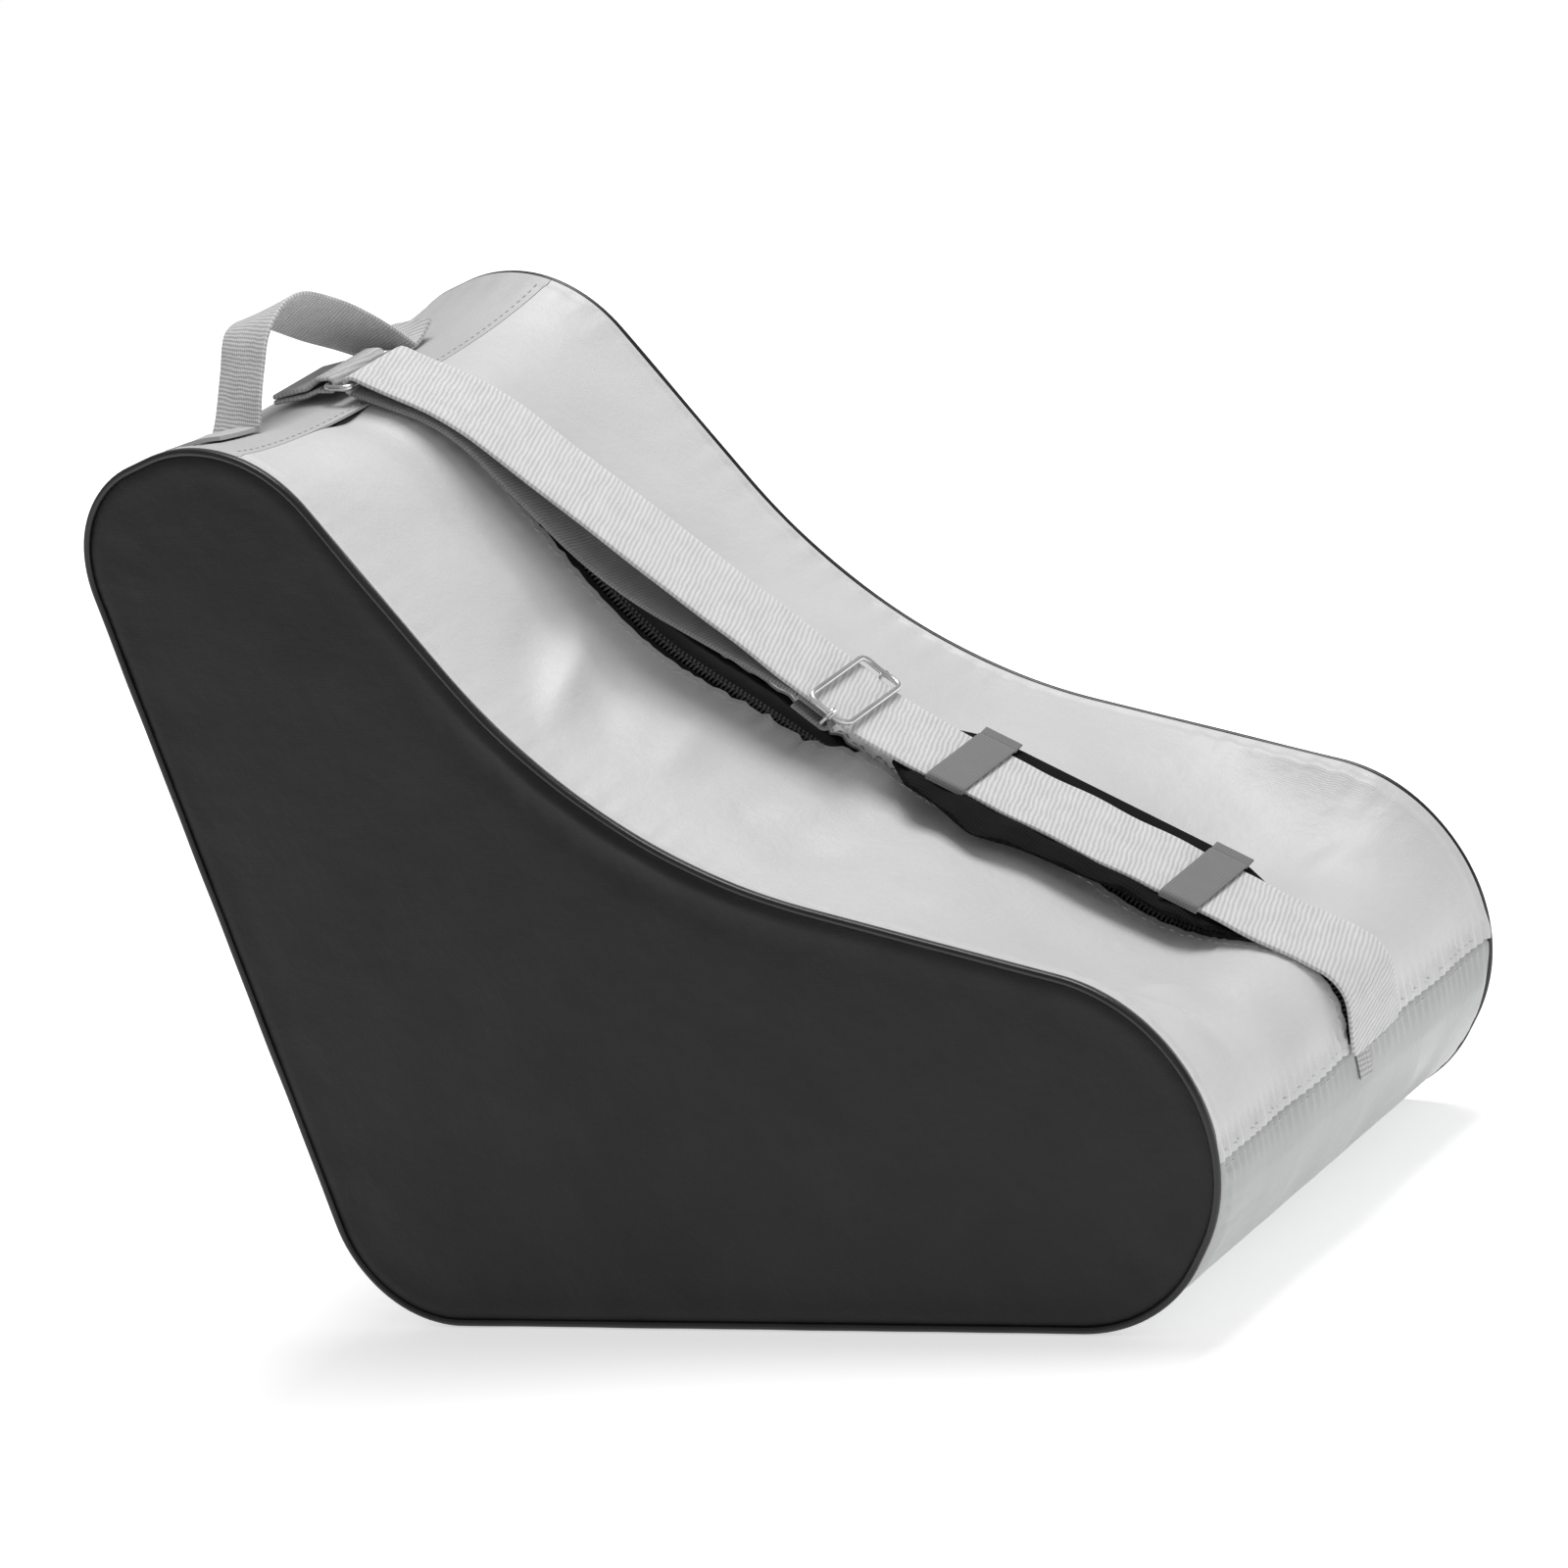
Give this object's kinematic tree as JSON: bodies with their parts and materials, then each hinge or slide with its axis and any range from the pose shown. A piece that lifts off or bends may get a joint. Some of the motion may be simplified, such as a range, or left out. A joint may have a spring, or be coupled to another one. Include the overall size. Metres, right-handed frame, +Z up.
{
  "type": "skate bag",
  "caption": "Boot-shaped bag for ice skates with a zipped front, stiff side panels, a carry handle and a padded shoulder strap with a tri-glide.",
  "frame": {"origin": "on the floor, under the middle of the bag's length and width", "axes": "+X from the heel towards the toe, +Y towards the left side panel, +Z up"},
  "size_m": [0.384, 0.196, 0.3338],
  "materials": {
    "black_nylon": "smooth coated nylon",
    "piping": "gloss",
    "silver_nylon": "satin coated nylon",
    "lining_cloth": "matte woven",
    "foam": "closed-cell foam",
    "board": "matte",
    "black_tape": "woven tape",
    "coil": "matte",
    "black_metal": "black paint",
    "steel": "nickel plated",
    "pale_webbing": "ribbed webbing",
    "grey_webbing": "ribbed webbing",
    "handle_webbing": "ribbed webbing",
    "grey_band": "smooth woven",
    "pad_cloth": "matte woven"
  },
  "bodies": {
    "bag": {"side_panel_right": "black_nylon", "side_panel_left": "black_nylon", "side_foam_right": "foam", "side_foam_left": "foam", "side_lining_right": "lining_cloth", "side_lining_left": "lining_cloth", "seam_binding_right": "black_tape", "seam_binding_left": "black_tape", "piping_right": "piping", "piping_left": "piping", "base_gusset": "silver_nylon", "back_gusset": "silver_nylon", "gusset_lining": "lining_cloth", "base_board": "board", "front_panel_right": "silver_nylon", "front_panel_left": "silver_nylon", "zip_tape_right": "black_tape", "zip_tape_left": "black_tape", "zip_coil_right": "coil", "zip_coil_left": "coil", "zip_stop_bottom": "steel", "zip_stop_top": "steel", "zip_end_tab": "grey_webbing", "shoulder_strap": "pale_webbing", "strap_return": "pale_webbing", "ring_tab": "grey_webbing", "handle_root_right": "handle_webbing", "handle_root_left": "handle_webbing", "handle_end_right": "handle_webbing", "handle_end_left": "handle_webbing"},
    "slider": {"zip_slider": "black_metal"},
    "pull": {"zip_pull": "black_metal"},
    "ring": {"strap_ring": "steel"},
    "triglide": {"triglide_frame": "steel", "triglide_bar": "steel", "strap_fold": "pale_webbing"},
    "pad": {"shoulder_pad": "pad_cloth", "pad_band_upper": "grey_band", "pad_band_lower": "grey_band"},
    "handle": {"handle_loop": "handle_webbing"}
  },
  "joints": [
    {"name": "handle_swing", "type": "hinge", "parent": "bag", "child": "handle", "pos_m": [-0.15127, 0, 0.30918], "axis": [0, 1, 0], "range_deg": [-40, 32], "deforming": ["handle_root_right", "handle_root_left"]},
    {"name": "ring_swing", "type": "hinge", "parent": "bag", "child": "ring", "pos_m": [-0.13661, -0.00311, 0.30496], "axis": [-0.0401, 0.9992, 0], "range_deg": [-5, 5]},
    {"name": "triglide_slide", "type": "slide", "parent": "bag", "child": "triglide", "axis": [0.737, 0.0296, -0.6753], "range_m": [-0.08, 0.002], "deforming": ["strap_return"]},
    {"name": "pad_slide", "type": "slide", "parent": "bag", "child": "pad", "axis": [0.8665, 0.0348, -0.4979], "range_m": [-0.01, 0]},
    {"name": "slider_run", "type": "slide", "parent": "bag", "child": "slider", "axis": [0.5572, 0, -0.8304], "range_m": [0, 0.022]},
    {"name": "pull_swing", "type": "hinge", "parent": "slider", "child": "pull", "pos_m": [-0.07429, 0, 0.2549], "axis": [0, -1, 0], "range_deg": [0, 25]}
  ]
}
